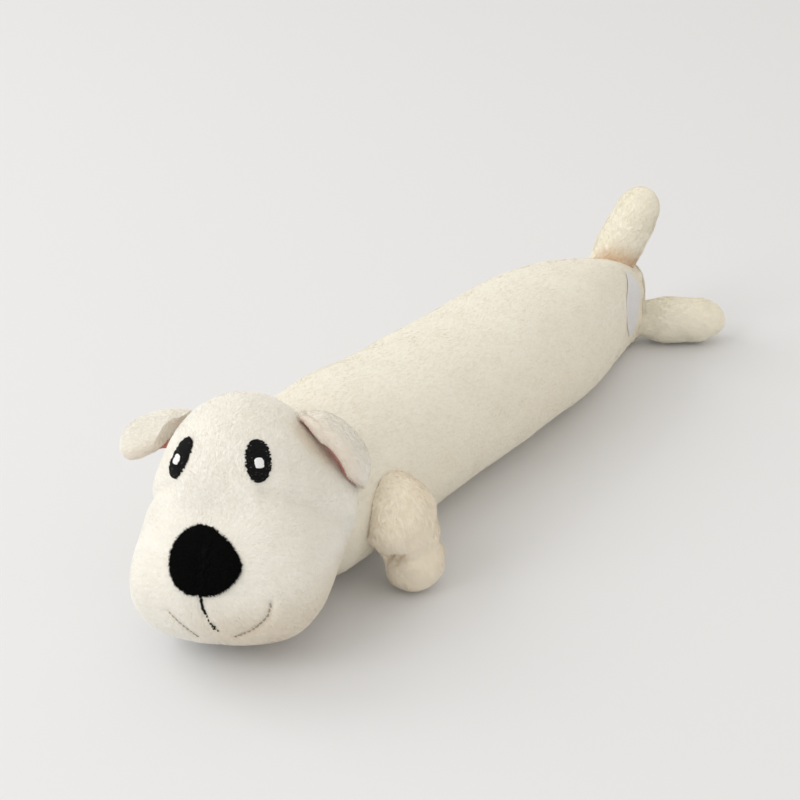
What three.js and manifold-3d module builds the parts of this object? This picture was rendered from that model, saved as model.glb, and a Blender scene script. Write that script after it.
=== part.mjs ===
// A long squeaky plush dog, lying on its belly with its head turned a little to its left.
// Millimetres, +Z up, the nose toward -Y and the dog's left toward +X.
// The origin is the middle of the flat strip that the belly rests on.
import * as THREE from "three";
import { mergeVertices } from "three/addons/utils/BufferGeometryUtils.js";
import Module from "manifold-3d";

const wasm = await Module();
wasm.setup();

// Cloth and clearances
const plushWall = 1.8;
const gap = 0.35;
const floorClearance = 0.5; // under what hangs from the body

// Body, a stuffed tube
const bodyLength = 296; // neck pivot to rear seam
const chestRadius = 41;
const middleRadius = 40;
const rearHalfHeight = 24;
const rearHalfWidth = 11;
const rearDomeDepth = 4;
const rearSquarePower = 2.8; // power of the section at the rear seam; 2 is an ellipse
const pinchStartShare = 0.6; // of the way from the neck pivot to the rear seam
const backFallPower = 2.2; // how late the back falls toward the rear
const neckOpeningRadius = 24;
const bodySides = 20; // one side lies flat on the floor

// Head
const headReach = 43; // neck pivot to the middle of the head
const headLift = 5;
const headShift = 11.5; // the head leans this far to its right on the neck
const headTurn = 21.6; // degrees, to the dog's left
const headTilt = 5.2; // degrees, with the left ear up
const headNod = -5.5; // degrees, with the nose down
const craniumHalfWidth = 38.7;
const craniumHalfDepth = 42.1;
const craniumHalfHeight = 48.5;
const craniumRise = 6.3;
const craniumBack = 8.8;
const muzzleHalfWidth = 42.1;
const muzzleHalfDepth = 46.6;
const muzzleHalfHeight = 34.9;
const muzzleDrop = 12;
const muzzleForward = 8;
const jowlSwell = 6.3;
const browDip = 4;
const mergePower = 9; // how sharply the muzzle meets the cranium

// Nose, eyes and their white glints
const noseHalfWidth = 15.9;
const noseHalfHeight = 12.9;
const noseCant = -8; // degrees, with its top toward the dog's right
const noseRise = 5.2;
const noseThickness = 1.6;
const eyeHalfWidth = 5.2;
const eyeHalfHeight = 8.7;
const eyeSpread = 20.6;
const eyeRise = 43.6;
const leftEyeCant = 15; // degrees, with its top outward
const rightEyeCant = 0;
const eyeThickness = 1;
const glintHalfSize = 2.1;
const glintThickness = 0.6;

// Ears
const earLength = 41;
const earHalfWidth = 10.4;
const earOuterThickness = 2.4;
const earLiningThickness = 1.2;
const earRootOut = 20.4; // from the middle of the head
const earRootBack = 16.6;
const leftEarRootRise = 36.2;
const rightEarRootRise = 31;
const earCurl = 74; // degrees that an ear bends from root to tip
const earCup = 1.5; // how far the ear's edges bend down beside its middle
const leftEarFallAngle = 8; // degrees below level at the root
const rightEarFallAngle = 4;
const leftEarSweep = -0.5; // tip behind the root
const rightEarSweep = -7;
const leftEarCantAngle = 10.6; // degrees that the front edge hangs below the back edge
const rightEarCantAngle = 50;
const earSwing = 30;

// Front legs
const frontLegReach = 13.5; // out from the flank to the middle of the paw
const frontLegRadius = 15;
const frontWristRadius = 13.2;
const frontPawRadius = 13.8;
const frontLegSetBack = 20; // behind the neck pivot
const shoulderRise = 1.5; // above the neck pivot
const frontLegSwing = 30;

// Hind legs
const hindLegLength = 52;
const hindLegRadius = 12.5;
const hindTipRadius = 11.2;
const raisedRootRadius = 12;
const raisedRootDepth = 9; // below the top of the body
const raisedSetForward = 11; // ahead of the rear seam
const raisedAngle = 68; // degrees above level
const raisedLean = 16; // degrees toward the dog's left
const raisedLegSwing = 35;
const lyingRootRadius = 7; // where the leg is caught in the rear seam
const lyingRootOut = 2.8; // from the middle of the seam
const lyingRootBack = 2.6;
const lyingSplay = 57; // degrees that the lying leg points outward
const lyingLegSwing = 25;

// Blank label in the rear seam
const labelHeight = 36;
const labelFoot = 8.5; // above the floor
const labelWidth = 20;
const labelThickness = 0.8;
const labelSwingRoom = 1.4; // between the label and the lying leg

// Squeaker
const bulbRadius = 22;
const bulbHalfHeight = 11;
const bulbWall = 0.9;
const bulbNeckRadius = 7;
const bulbNeckHeight = 4;
const reedSlotHalfWidth = 1.6;
const reedSlotHalfLength = 4.2;
const reedThickness = 0.3;
const plugFlange = 1.2;

// Materials
const bodyPlush = { color: 0xeeeada, roughness: 0.9 };
const limbPlush = { color: 0xf3ead6, roughness: 0.95 };
const pinkPlush = { color: 0xe08a86, roughness: 0.9 };
const blackPlush = { color: 0x0b0b0c, roughness: 0.95 };
const blackStitch = { color: 0x0b0b0c, roughness: 0.8 };
const whiteStitch = { color: 0xf4f4f6, roughness: 0.6 };
const labelSatin = { color: 0xf4f4f6, roughness: 0.45 };
const looseFibre = { color: 0xf7f7f5, roughness: 1 };
const thinPlastic = { color: 0xe9ecee, roughness: 0.4 };

const neckY = -bodyLength / 2;
const rearY = bodyLength / 2;
const flatShare = Math.cos(Math.PI / bodySides); // height of the flat side's middle on a unit circle
const neckPivot = new THREE.Vector3(0, neckY, chestRadius * flatShare);

const deg = THREE.MathUtils.degToRad;
const vec = (x, y, z) => new THREE.Vector3(x, y, z);
const smooth = (t) => THREE.MathUtils.smoothstep(t, 0, 1);
const signedPower = (value, power) => Math.sign(value) * Math.abs(value) ** power;
const weld = 1e-3; // corners closer than this are one

// Puts triangles that share corners into a geometry; triangles that have closed up are left out.
function geometryOf(triangles) {
  const points = triangles.flat(1);
  const positions = new Float32Array(points.flatMap((p) => [p.x, p.y, p.z]));
  const loose = new THREE.BufferGeometry();
  loose.setAttribute("position", new THREE.BufferAttribute(positions, 3));
  const merged = mergeVertices(loose, weld);
  const corners = merged.index.array;
  const kept = [];
  for (let i = 0; i < corners.length; i += 3) {
    const [a, b, c] = corners.slice(i, i + 3);
    if (a !== b && b !== c && c !== a) kept.push(a, b, c);
  }
  merged.setIndex(kept);
  return merged;
}

// A geometry as a solid with its faces pointing out.
function solidOf(geometry) {
  const bare = geometry.clone();
  bare.deleteAttribute("normal");
  bare.deleteAttribute("uv");
  const merged = mergeVertices(bare, weld);
  const make = (corners) =>
    new wasm.Manifold(
      new wasm.Mesh({
        numProp: 3,
        vertProperties: merged.attributes.position.array,
        triVerts: new Uint32Array(corners),
      }),
    );
  const corners = Array.from(merged.index.array);
  const solid = make(corners);
  return solid.volume() < 0 ? make(corners.reverse()) : solid;
}

function meshOf(name, solid, look) {
  const { vertProperties, triVerts } = solid.getMesh();
  const geometry = new THREE.BufferGeometry();
  const positions = new Float32Array(vertProperties);
  geometry.setAttribute("position", new THREE.BufferAttribute(positions, 3));
  geometry.setIndex(Array.from(triVerts));
  geometry.computeVertexNormals();
  const mesh = new THREE.Mesh(geometry, new THREE.MeshStandardMaterial({ ...look, metalness: 0 }));
  mesh.name = name;
  return mesh;
}

// The two triangles of each cell of a grid of points, rows[i][j].
function gridTriangles(rows, flip) {
  const triangles = [];
  for (let i = 0; i + 1 < rows.length; i++) {
    for (let j = 0; j + 1 < rows[i].length; j++) {
      const [a, b, c, d] = [rows[i][j], rows[i + 1][j], rows[i + 1][j + 1], rows[i][j + 1]];
      triangles.push(flip ? [a, c, b] : [a, b, c], flip ? [a, d, c] : [a, c, d]);
    }
  }
  return triangles;
}

// Evenly spaced places from one value to another, both included.
const spread = (count, from = 0, to = 1) =>
  Array.from({ length: count + 1 }, (_, i) => THREE.MathUtils.lerp(from, to, i / count));

// Rows of points at the given places; a wrapped row ends on the very point that it starts with.
const gridOf = (point, across, places, wrapped) =>
  places.map((v) =>
    Array.from({ length: across + 1 }, (_, j) => point((wrapped ? j % across : j) / across, v)),
  );

// A closed form: point(u, v) goes round with u, and each end of v is closed at its ring's middle.
function closedForm(point, around, places) {
  const rows = gridOf(point, around, places, true);
  const cap = (row) => {
    const middle = new THREE.Vector3();
    for (const p of row.slice(1)) middle.addScaledVector(p, 1 / around);
    return row.map(() => middle);
  };
  return solidOf(geometryOf(gridTriangles([cap(rows[0]), ...rows, cap(rows.at(-1))], false)));
}

// A sheet between two surfaces, closed along its edges; a wrapped sheet has no side edges.
function sheetSolid(outer, inner, across, places, wrapped) {
  const top = gridOf(outer, across, places, wrapped);
  const bottom = gridOf(inner, across, places, wrapped);
  const column = (rows, j) => rows.map((row) => row[j]);
  const triangles = [
    ...gridTriangles(top, false),
    ...gridTriangles(bottom, true),
    ...gridTriangles([top[0], bottom[0]], true),
    ...gridTriangles([top.at(-1), bottom.at(-1)], false),
  ];
  if (!wrapped) {
    triangles.push(
      ...gridTriangles([column(top, 0), column(bottom, 0)], false),
      ...gridTriangles([column(top, across), column(bottom, across)], true),
    );
  }
  return solidOf(geometryOf(triangles));
}

// A solid of revolution about the vertical, from a profile of distances out and heights.
const latheSides = 20;
const lathed = (profile) =>
  solidOf(new THREE.LatheGeometry(profile, latheSides).rotateX(Math.PI / 2));

// A ball that a round joint can be cut with: its flat facets stay outside the given radius.
const ballSides = 36;

function ballCutter(radius) {
  const outside = radius / Math.cos(Math.PI / ballSides) ** 2;
  return solidOf(new THREE.SphereGeometry(outside, ballSides, ballSides));
}

// A solid turned about a hinge, and a solid cleared of a neighbour over the whole of its swing.
function turned(solid, hinge, degrees) {
  const spin = new THREE.Matrix4().makeRotationAxis(hinge.axis, deg(degrees));
  const matrix = new THREE.Matrix4()
    .makeTranslation(hinge.point)
    .multiply(spin)
    .multiply(new THREE.Matrix4().makeTranslation(hinge.point.clone().negate()));
  return solid.transform(matrix.elements);
}

const swingSteps = 6;

function clearedOver(solid, cutter, hinge, swing) {
  const cleared = (rest, angle) => rest.subtract(turned(cutter, hinge, -angle));
  return spread(swingSteps, 0, swing).reduce(cleared, solid);
}

// Body: its section at a place from the neck pivot, 0, to the rear seam, 1.
function bodyHalfHeight(s) {
  const front = THREE.MathUtils.lerp(chestRadius, middleRadius, smooth(2 * s));
  const fall = Math.max(0, 2 * s - 1) ** backFallPower;
  return front - (middleRadius - rearHalfHeight) * fall;
}

// 0 where the tube is round, 1 where it is pinched into the rear seam.
const pinchAt = (s) => Math.max(0, (s - pinchStartShare) / (1 - pinchStartShare));

const sectionBend = (s) => 2 / THREE.MathUtils.lerp(2, rearSquarePower, pinchAt(s));
const sectionMiddle = (s) => bodyHalfHeight(s) * flatShare ** sectionBend(s);
const bodyHalfWidth = (s) => THREE.MathUtils.lerp(bodyHalfHeight(s), rearHalfWidth, pinchAt(s) ** 2);

// A point of the body's skin, grown outward by a margin. v < 0 is the round cap at the neck, down
// to the neck opening, and v > 1 is the dome behind the rear seam.
function bodyPoint(u, v, margin) {
  const angle = (u + 1 / (2 * bodySides)) * 2 * Math.PI - Math.PI / 2;
  const s = THREE.MathUtils.clamp(v, 0, 1);
  const bend = sectionBend(s);
  let y = neckY + bodyLength * v;
  let halfWidth = bodyHalfWidth(s) + margin;
  let halfHeight = bodyHalfHeight(s) + margin;
  if (v < 0) {
    const polar = (Math.PI / 2) * (1 + v);
    y = neckY - (chestRadius + margin) * Math.cos(polar);
    halfWidth = (chestRadius + margin) * Math.sin(polar);
    halfHeight = halfWidth;
  }
  if (v > 1) {
    const polar = (Math.PI / 2) * (v - 1);
    y = rearY + (rearDomeDepth + margin) * Math.sin(polar);
    halfWidth *= Math.cos(polar);
    halfHeight *= Math.cos(polar);
  }
  const across = signedPower(Math.cos(angle), bend);
  const rise = signedPower(Math.sin(angle), bend);
  return vec(halfWidth * across, y, sectionMiddle(s) + halfHeight * rise);
}

const neckEdge = (2 / Math.PI) * Math.asin(neckOpeningRadius / chestRadius) - 1;
const seamPlace = 1 - gap / bodyLength;
const capRows = 4;
const tubeShares = [0.1, 0.2, 0.3, 0.4, 0.5, 0.6, 0.7, 0.75, 0.8, 0.85, 0.9, 0.95];
const tubePlaces = [...spread(capRows, neckEdge, 0), ...tubeShares, seamPlace];
const domePlaces = spread(capRows, 1, 2);

// The whole body as one solid, used to cut what lies against it.
const bodySolid = (margin) =>
  closedForm(
    (u, v) => bodyPoint(u, v, margin),
    bodySides,
    [...spread(capRows, -1, neckEdge), ...tubePlaces.slice(1), ...domePlaces],
  );

const bodyCloth = (places) =>
  sheetSolid(
    (u, v) => bodyPoint(u, v, 0),
    (u, v) => bodyPoint(u, v, -plushWall),
    bodySides,
    places,
    true,
  );

// Squeaker: a flat bulb with a neck on top, in the middle of the body.
const squeakerPlace = vec(0, 0, middleRadius * flatShare - bulbNeckHeight / 2);
const bulbRows = 9;

function bulbProfile(inset) {
  const radius = bulbRadius - inset;
  const half = bulbHalfHeight - inset;
  const neck = bulbNeckRadius - inset;
  const start = Math.acos(neck / radius);
  const points = spread(bulbRows, start, -Math.PI / 2).map(
    (angle) => new THREE.Vector2(radius * Math.cos(angle), half * Math.sin(angle)),
  );
  points[bulbRows].x = 0;
  return [new THREE.Vector2(neck, bulbHalfHeight + bulbNeckHeight), ...points];
}

function squeakerBulb() {
  const outer = bulbProfile(0);
  const inner = bulbProfile(bulbWall);
  return lathed([...outer.slice().reverse(), ...inner, outer.at(-1)]);
}

// The plug that holds the reed: a tube with a flange on the neck's rim and a slot through it.
const plugRadius = bulbNeckRadius - bulbWall - gap;
const plugTop = bulbHalfHeight + bulbNeckHeight + gap + plugFlange;

function squeakerPlug() {
  const rim = plugTop - plugFlange;
  const foot = rim - bulbNeckHeight;
  const body = lathed([
    new THREE.Vector2(0, foot),
    new THREE.Vector2(plugRadius, foot),
    new THREE.Vector2(plugRadius, rim),
    new THREE.Vector2(bulbNeckRadius, rim),
    new THREE.Vector2(bulbNeckRadius, plugTop),
    new THREE.Vector2(0, plugTop),
  ]);
  const slot = new THREE.BoxGeometry(2 * reedSlotHalfLength, 2 * reedSlotHalfWidth, 4 * plugTop);
  return body.subtract(solidOf(slot));
}

function squeakerReed() {
  const length = 2 * (reedSlotHalfLength - gap);
  const blade = new THREE.BoxGeometry(length, reedThickness, bulbNeckHeight);
  const side = -reedSlotHalfWidth + gap + reedThickness / 2;
  blade.translate(0, side, plugTop - plugFlange - bulbNeckHeight / 2);
  return solidOf(blade);
}

// The room that the stuffing leaves for the squeaker.
function squeakerRoom() {
  const points = [
    new THREE.Vector2(0, -bulbHalfHeight - gap),
    ...bulbProfile(-gap).reverse().slice(1),
    new THREE.Vector2(bulbNeckRadius + gap, plugTop + gap),
    new THREE.Vector2(0, plugTop + gap),
  ];
  return lathed(points).translate(squeakerPlace.toArray());
}

// Stuffing in two wads that meet round the squeaker.
function bodyStuffing() {
  const whole = closedForm(
    (u, v) => bodyPoint(u, v, -plushWall - gap),
    bodySides,
    [...tubePlaces, ...domePlaces],
  );
  const half = new THREE.BoxGeometry(4 * chestRadius, 2 * bodyLength, 4 * chestRadius);
  const shifted = (y) => solidOf(half.clone().translate(0, y, 0));
  const packed = whole.subtract(squeakerRoom());
  return {
    front: packed.intersect(shifted(-bodyLength - gap / 2)),
    rear: packed.intersect(shifted(bodyLength + gap / 2)),
  };
}

// Head: distance from its middle to its skin along a direction. Two ellipsoids are merged, with a
// swelling for each jowl and a dip across the brow.
function ellipsoidReach(d, centre, half) {
  const scaled = d.clone().divide(half);
  const offset = centre.clone().divide(half);
  const a = scaled.lengthSq();
  const b = scaled.dot(offset);
  const c = offset.lengthSq() - 1;
  return (b + Math.sqrt(b * b - a * c)) / a;
}

const cranium = {
  centre: vec(0, craniumBack, craniumRise),
  half: vec(craniumHalfWidth, craniumHalfDepth, craniumHalfHeight),
};
const muzzle = {
  centre: vec(0, -muzzleForward, -muzzleDrop),
  half: vec(muzzleHalfWidth, muzzleHalfDepth, muzzleHalfHeight),
};
const jowlShares = vec(0.62, -0.62, -0.48).normalize();
const browShares = vec(0, -0.86, 0.5).normalize();
const jowlSpreadShare = 0.16;
const browSpreadShare = 0.12;

function headRadius(d) {
  const back = ellipsoidReach(d, cranium.centre, cranium.half);
  const front = ellipsoidReach(d, muzzle.centre, muzzle.half);
  const both = (back ** mergePower + front ** mergePower) ** (1 / mergePower);
  const side = vec(Math.abs(d.x), d.y, d.z);
  const jowl = jowlSwell * Math.exp(-side.distanceToSquared(jowlShares) / jowlSpreadShare);
  const brow = browDip * Math.exp(-d.distanceToSquared(browShares) / browSpreadShare);
  return both + jowl - brow;
}

const headMiddle = vec(-headShift, -headReach, headLift);
const headSides = 26;
const headPlaces = spread(18);

// A point of the head at u round its long axis from below and v from the nose to the back.
function headPoint(u, v, margin) {
  const angle = (u - 1 / 4) * 2 * Math.PI;
  const polar = Math.PI * v;
  const ring = Math.sin(polar);
  const d = vec(ring * Math.cos(angle), -Math.cos(polar), ring * Math.sin(angle));
  return d.clone().multiplyScalar(headRadius(d) + margin).add(headMiddle);
}

const neckBall = ballCutter(chestRadius + gap);

// One half of the head's skin, sewn to the other along the middle of the face.
function headHalf(side) {
  const place = (margin) => (u, v) => {
    const p = headPoint(u / 2, v, margin);
    p.x = headMiddle.x + side * (Math.max(p.x - headMiddle.x, 0) + gap / 2);
    return p;
  };
  const skin = sheetSolid(place(0), place(-plushWall), headSides / 2, headPlaces, false);
  return skin.subtract(neckBall);
}

const headSolid = (margin) =>
  closedForm((u, v) => headPoint(u, v, margin), headSides, headPlaces);

// A patch sewn on the head: a point of its outline is given as shares of its half width and height
// at an angle, and its top falls from the full thickness to the rim.
const patchFallShare = 0.45;
const patchRows = 3;

function headPatch(patch) {
  const out = patch.centre.clone().normalize();
  const right = vec(0, 0, 1).cross(out).normalize().applyAxisAngle(out, -deg(patch.cant));
  const up = out.clone().cross(right);
  const reach = headRadius(out);
  const place = (u, v, margin) => {
    const [a, b] = patch.outline(u * 2 * Math.PI);
    const d = out
      .clone()
      .multiplyScalar(reach)
      .addScaledVector(right, a * patch.halfWidth * v)
      .addScaledVector(up, b * patch.halfHeight * v)
      .normalize();
    return d.clone().multiplyScalar(headRadius(d) + margin).add(headMiddle);
  };
  return sheetSolid(
    (u, v) => place(u, v, patch.base + patch.thickness * (1 - patchFallShare * v * v)),
    (u, v) => place(u, v, patch.base),
    patch.sides,
    spread(patchRows),
    true,
  );
}

// The nose: a rounded shape, broadest below its middle and drawn in toward its top.
const noseTaperShare = -0.18;
const noseSquareShare = 0.06;
const noseOutline = (angle) => {
  const across = Math.cos(angle) * (1 + noseTaperShare * Math.sin(angle));
  return [across, Math.sin(angle) * (1 - noseSquareShare * Math.cos(2 * angle))];
};
const nosePatch = {
  centre: vec(0, -headReach, noseRise),
  halfWidth: noseHalfWidth,
  halfHeight: noseHalfHeight,
  outline: noseOutline,
  cant: noseCant,
  base: gap,
  thickness: noseThickness,
  sides: 20,
};

const eyePatch = (side) => ({
  centre: vec(side * eyeSpread, -craniumHalfDepth / 2, eyeRise),
  halfWidth: eyeHalfWidth,
  halfHeight: eyeHalfHeight,
  outline: (angle) => [Math.cos(angle), Math.sin(angle)],
  cant: side > 0 ? leftEyeCant : rightEyeCant,
  base: gap,
  thickness: eyeThickness,
  sides: 16,
});

// The glint: a square with round corners, sewn on the eye.
const glintPower = 4;
const glintOutline = (angle) => {
  const both = Math.cos(angle) ** glintPower + Math.sin(angle) ** glintPower;
  const reach = both ** (-1 / glintPower);
  return [Math.cos(angle) * reach, Math.sin(angle) * reach];
};
const glintPatch = (side) => ({
  ...eyePatch(side),
  halfWidth: glintHalfSize,
  halfHeight: glintHalfSize,
  outline: glintOutline,
  base: gap + eyeThickness + gap,
  thickness: glintThickness,
  sides: 12,
});

// An ear is a leaf that grows from a line on the head and curls down beside it. Across goes from
// its front edge, -1, to its back edge, 1, and v from its root to its tip.
const leftEar = {
  side: 1,
  rise: leftEarRootRise,
  fall: leftEarFallAngle,
  sweep: leftEarSweep,
  cant: leftEarCantAngle,
};
const rightEar = {
  side: -1,
  rise: rightEarRootRise,
  fall: rightEarFallAngle,
  sweep: rightEarSweep,
  cant: rightEarCantAngle,
};
const earWidthShares = [0.7, 0.91, -0.51]; // the leaf's half width along v, as a polynomial
const earTipShare = 0.9;
const earTipPower = 6;
const earColumns = 6;
const earRows = 7;
const earCutter = headSolid(gap).add(neckBall);

function earRoot(ear) {
  const direction = vec(ear.side * earRootOut, earRootBack, ear.rise).normalize();
  return direction.multiplyScalar(headRadius(direction) - earOuterThickness).add(headMiddle);
}

const earHinge = (ear) => ({
  point: earRoot(ear).add(vec(ear.side * earOuterThickness, 0, 2 * earOuterThickness)),
  axis: vec(0, -ear.side, 0),
});

function earSolid(ear, inside, thickness) {
  const start = deg(ear.fall);
  const curl = deg(earCurl);
  const cant = deg(ear.cant);
  const root = earRoot(ear);
  const [atRoot, growth, narrowing] = earWidthShares;
  const place = (depth) => (u, v) => {
    const across = ear.side * (2 * u - 1);
    const angle = start + curl * v;
    const leaf = (atRoot + growth * v + narrowing * v ** 2) * Math.sqrt(1 - earTipShare * v ** earTipPower);
    const out = (earLength * (Math.sin(angle) - Math.sin(start))) / curl;
    const down = (earLength * (Math.cos(start) - Math.cos(angle))) / curl;
    const lift = depth - earCup * across ** 2;
    const wide = across * earHalfWidth * leaf;
    const rise = wide * Math.sin(cant) + lift * Math.cos(cant);
    return vec(
      root.x + ear.side * (out + rise * Math.sin(angle)),
      root.y + wide * Math.cos(cant) - lift * Math.sin(cant) + ear.sweep * v,
      root.z - down + rise * Math.cos(angle),
    );
  };
  const leaf = sheetSolid(place(inside + thickness), place(inside), earColumns, spread(earRows), false);
  return clearedOver(leaf, earCutter, earHinge(ear), earSwing);
}

// A stuffed limb: round sections along a curve that bends about the across direction, closing in
// at both ends.
const limbSides = 12;
const limbPlaces = spread(10);
const limbEndPower = 4.5;

function limbSolid(limb, margin) {
  const curve = new THREE.CatmullRomCurve3(limb.points, false, "centripetal");
  const length = curve.getLength();
  const steps = limb.radii.length - 1;
  const radiusAt = (t) => {
    const i = Math.min(Math.floor(t * steps), steps - 1);
    return THREE.MathUtils.lerp(limb.radii[i], limb.radii[i + 1], smooth(t * steps - i));
  };
  const end = 1 + margin / length;
  const point = (u, v) => {
    const t = (end * (1 - Math.cos(Math.PI * v))) / 2;
    const at = Math.min(t, 1);
    const middle = curve.getPointAt(at);
    const ahead = curve.getTangentAt(at);
    middle.addScaledVector(ahead, (t - at) * length);
    const right = limb.across.clone().cross(ahead).normalize();
    const up = ahead.clone().cross(right);
    const closing = Math.abs((2 * t) / end - 1) ** limbEndPower;
    const radius = (radiusAt(at) + margin) * Math.sqrt(Math.max(0, 1 - closing));
    const angle = u * 2 * Math.PI;
    middle.addScaledVector(right, radius * Math.cos(angle));
    return middle.addScaledVector(up, radius * Math.sin(angle));
  };
  return closedForm(point, limbSides, limbPlaces);
}

// A limb's cover, open at its root like a sock, and the stuffing in it.
function limbPair(limb) {
  const cut = (solid) => clearedOver(solid, limb.cutter, limb.hinge, limb.swing);
  return {
    cover: cut(limbSolid(limb, 0).subtract(limbSolid(limb, -plushWall))),
    stuffing: cut(limbSolid(limb, -plushWall - 2 * gap)),
  };
}

const bodyCutter = bodySolid(gap);

// A front leg hangs from the flank to the floor. Its curve is given as shares of the reach out, of
// the paw's radius back and of the shoulder's height. It turns up about the top of its root.
const frontLegShares = [
  [0.35, -0.15, 0.94],
  [0.6, 0, 0.6],
  [1, 0.1, 0],
];

function frontLeg(side) {
  const flank = bodyHalfWidth(frontLegSetBack / bodyLength);
  const y = neckY + frontLegSetBack;
  const shoulder = neckPivot.z + shoulderRise;
  const climb = shoulder - floorClearance;
  const rise = shoulderRise + frontLegRadius;
  return {
    points: [
      vec(side * (flank - frontLegRadius), y, shoulder),
      ...frontLegShares.map(([out, back, up]) =>
        vec(side * (flank + frontLegReach * out), y + frontPawRadius * back, floorClearance + climb * up),
      ),
    ],
    radii: [frontLegRadius, frontLegRadius, frontWristRadius, frontPawRadius, frontPawRadius],
    across: vec(0, 1, 0),
    cutter: bodyCutter,
    hinge: {
      point: vec(side * Math.sqrt(chestRadius ** 2 - rise ** 2), y, neckPivot.z + rise),
      axis: vec(0, -side, 0),
    },
    swing: frontLegSwing,
  };
}

// The blank label is a strip caught in the rear seam on the left side, lying forward on the body.
const labelHinge = {
  point: vec(rearHalfWidth + gap + labelThickness, rearY, rearHalfHeight * flatShare),
  axis: vec(0, 0, 1),
};
const labelColumns = 8;
const labelRows = 2;

function labelSolid(margin) {
  const place = (depth) => (u, v) => {
    const s = 1 - ((labelWidth + margin) / bodyLength) * (1 - v);
    const height = labelFoot - margin + (labelHeight + 2 * margin) * u;
    const rise = (height - sectionMiddle(s)) / bodyHalfHeight(s);
    const angle = Math.asin(signedPower(rise, 1 / sectionBend(s))) + Math.PI / 2;
    return bodyPoint(angle / (2 * Math.PI) - 1 / (2 * bodySides), s, depth);
  };
  const outer = place(gap + labelThickness + margin);
  return sheetSolid(outer, place(gap - margin), labelColumns, spread(labelRows), false);
}

// A hind leg grows straight out along a direction, with its root sunk in the body.
const hindLegShares = [0, 0.4, 0.75, 1];

const hindLegPoints = (root, direction, sunk) =>
  hindLegShares.map((share) =>
    root.clone().addScaledVector(direction, share * (hindLegLength + sunk) - sunk),
  );

// The lying leg is sewn to the panel behind the seam and turns up about the top of its root.
function lyingLeg() {
  const root = vec(lyingRootOut, rearY + lyingRootBack, hindLegRadius + floorClearance);
  const direction = vec(Math.sin(deg(lyingSplay)), Math.cos(deg(lyingSplay)), 0);
  const knee = (lyingRootRadius + hindLegRadius) / 2;
  return {
    points: hindLegPoints(root, direction, hindLegRadius),
    radii: [lyingRootRadius, knee, hindLegRadius, hindLegRadius, hindTipRadius],
    across: vec(1, 0, 0),
    cutter: bodyCutter.add(labelSolid(labelSwingRoom)),
    hinge: {
      point: root.clone().add(vec(0, rearDomeDepth, lyingRootRadius)),
      axis: direction.clone().cross(vec(0, 0, 1)),
    },
    swing: lyingLegSwing,
  };
}

// The raised leg stands on the end of the back and turns down about the back of its root.
const raisedSideShare = 0.6; // of the body's half width

function raisedLeg() {
  const s = 1 - raisedSetForward / bodyLength;
  const top = bodyHalfHeight(s) * 2 - raisedRootDepth;
  const root = vec(-bodyHalfWidth(s) * raisedSideShare, rearY - raisedSetForward, top);
  const level = vec(Math.sin(deg(raisedLean)), Math.cos(deg(raisedAngle)), 0);
  const direction = level.add(vec(0, 0, Math.sin(deg(raisedAngle)))).normalize();
  return {
    points: hindLegPoints(root, direction, raisedRootRadius),
    radii: [raisedRootRadius, raisedRootRadius, hindLegRadius, hindLegRadius, hindTipRadius],
    across: vec(1, 0, 0),
    cutter: bodyCutter,
    hinge: { point: vec(root.x, rearY, root.z), axis: vec(-1, 0, 0) },
    swing: raisedLegSwing,
  };
}

const group = new THREE.Group();
const add = (parent, name, solid, look) => parent.add(meshOf(name, solid, look));

add(group, "body_cover", bodyCloth(tubePlaces), bodyPlush);
add(group, "rear_panel", bodyCloth(domePlaces), bodyPlush);
const stuffing = bodyStuffing();
add(group, "body_stuffing_front", stuffing.front, looseFibre);
add(group, "body_stuffing_rear", stuffing.rear, looseFibre);
add(group, "blank_label", labelSolid(0), labelSatin);

const squeaker = new THREE.Group();
squeaker.position.copy(squeakerPlace);
add(squeaker, "squeaker_bulb", squeakerBulb(), thinPlastic);
add(squeaker, "squeaker_plug", squeakerPlug(), thinPlastic);
add(squeaker, "squeaker_reed", squeakerReed(), thinPlastic);
group.add(squeaker);

const head = new THREE.Group();
head.position.copy(neckPivot);
head.rotation.set(deg(headNod), -deg(headTilt), deg(headTurn), "ZYX");
group.add(head);
add(head, "head_stuffing", headSolid(-plushWall - 2 * gap).subtract(neckBall), looseFibre);
add(head, "nose_patch", headPatch(nosePatch), blackPlush);

for (const [side, name] of [[1, "left"], [-1, "right"]]) {
  add(head, "head_" + name, headHalf(side), bodyPlush);
  add(head, "eye_" + name, headPatch(eyePatch(side)), blackStitch);
  add(head, "glint_" + name, headPatch(glintPatch(side)), whiteStitch);

  const ear = side > 0 ? leftEar : rightEar;
  add(head, "ear_" + name, earSolid(ear, earLiningThickness + gap, earOuterThickness), limbPlush);
  add(head, "ear_lining_" + name, earSolid(ear, 0, earLiningThickness), pinkPlush);

  const front = limbPair(frontLeg(side));
  add(group, "front_leg_" + name, front.cover, limbPlush);
  add(group, "front_leg_stuffing_" + name, front.stuffing, looseFibre);

  const hind = limbPair(side > 0 ? lyingLeg() : raisedLeg());
  add(group, "hind_leg_" + name, hind.cover, limbPlush);
  add(group, "hind_leg_stuffing_" + name, hind.stuffing, looseFibre);
}

export default group;
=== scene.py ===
"""Looks for a long squeaky plush dog that lies on its belly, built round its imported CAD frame.

Sizes are in millimetres, in the frame of the CAD part, and piece() turns them into metres.
"""

import math

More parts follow.
